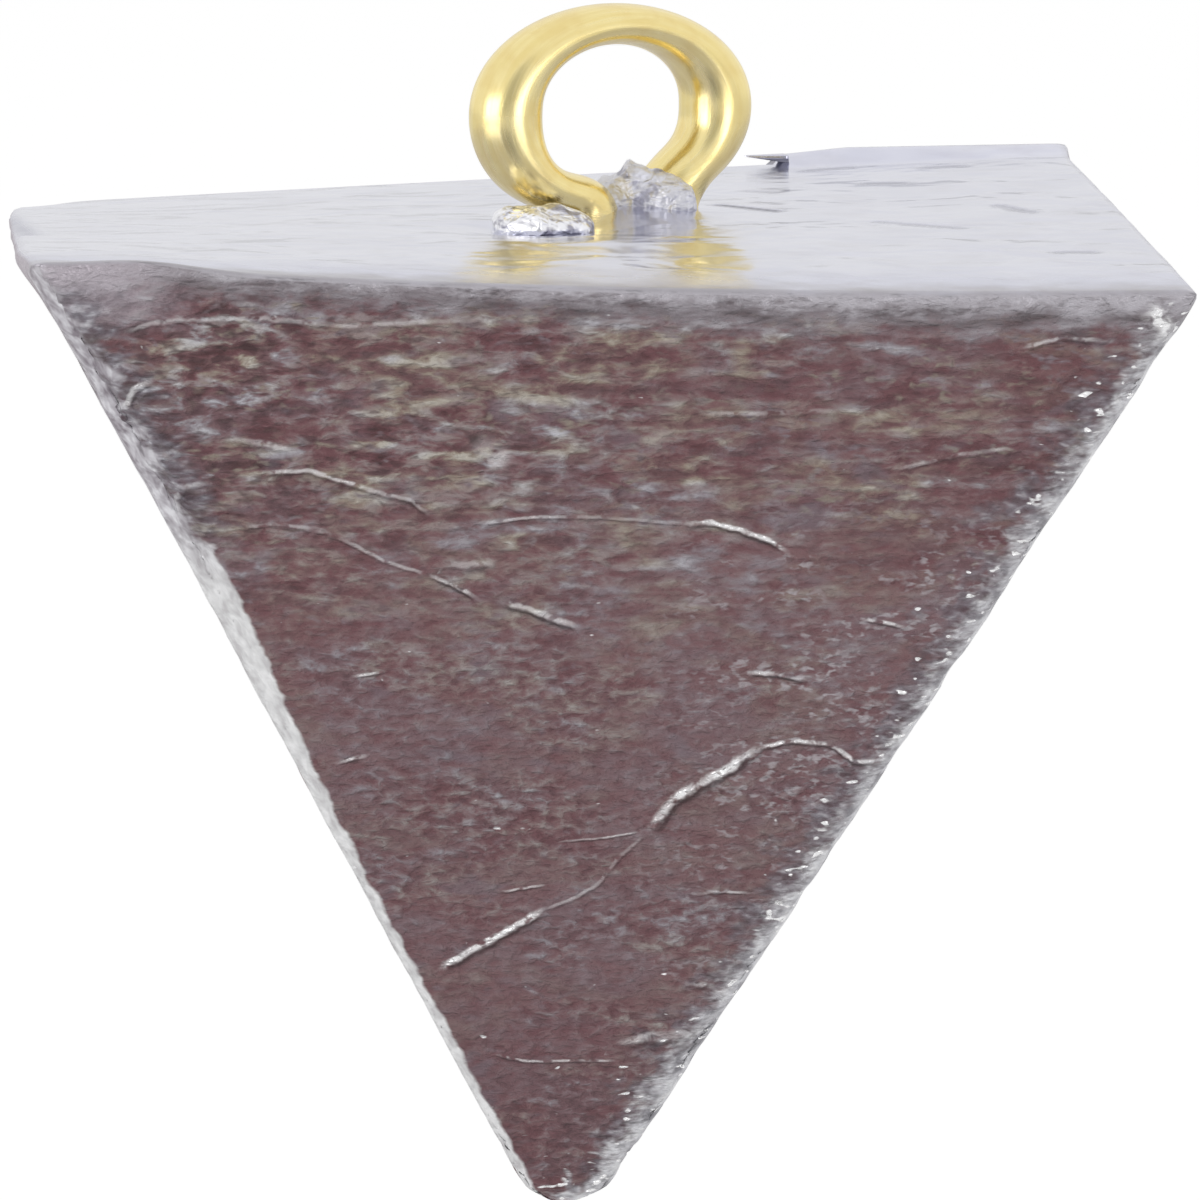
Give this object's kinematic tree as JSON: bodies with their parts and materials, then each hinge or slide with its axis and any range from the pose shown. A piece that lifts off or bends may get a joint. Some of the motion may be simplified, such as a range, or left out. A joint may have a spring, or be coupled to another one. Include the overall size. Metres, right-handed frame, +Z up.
{
  "type": "fishing sinker",
  "caption": "Four-sided pyramid fishing sinker of cast lead, blunt tip down, with a brass wire eye cast into its flat top.",
  "frame": {"origin": "the centre of the eye's hole", "axes": "+Z up, along the line's pull with the sinker hanging tip down; +Y towards the back face, so that the front face looks along -Y; +X to the right"},
  "size_m": [0.0324, 0.0323, 0.0341],
  "materials": {
    "lead_body": "dull cast lead with a mauve-brown bloom on its faces, bright on its poured top and its arrises",
    "brass": "bright drawn wire",
    "bright_lead": "bright, frozen splash of lead"
  },
  "bodies": {
    "root": {"lead_body": "lead_body", "brass_eye": "brass", "eye_flash": "bright_lead", "foot_bead": "bright_lead"}
  },
  "joints": []
}
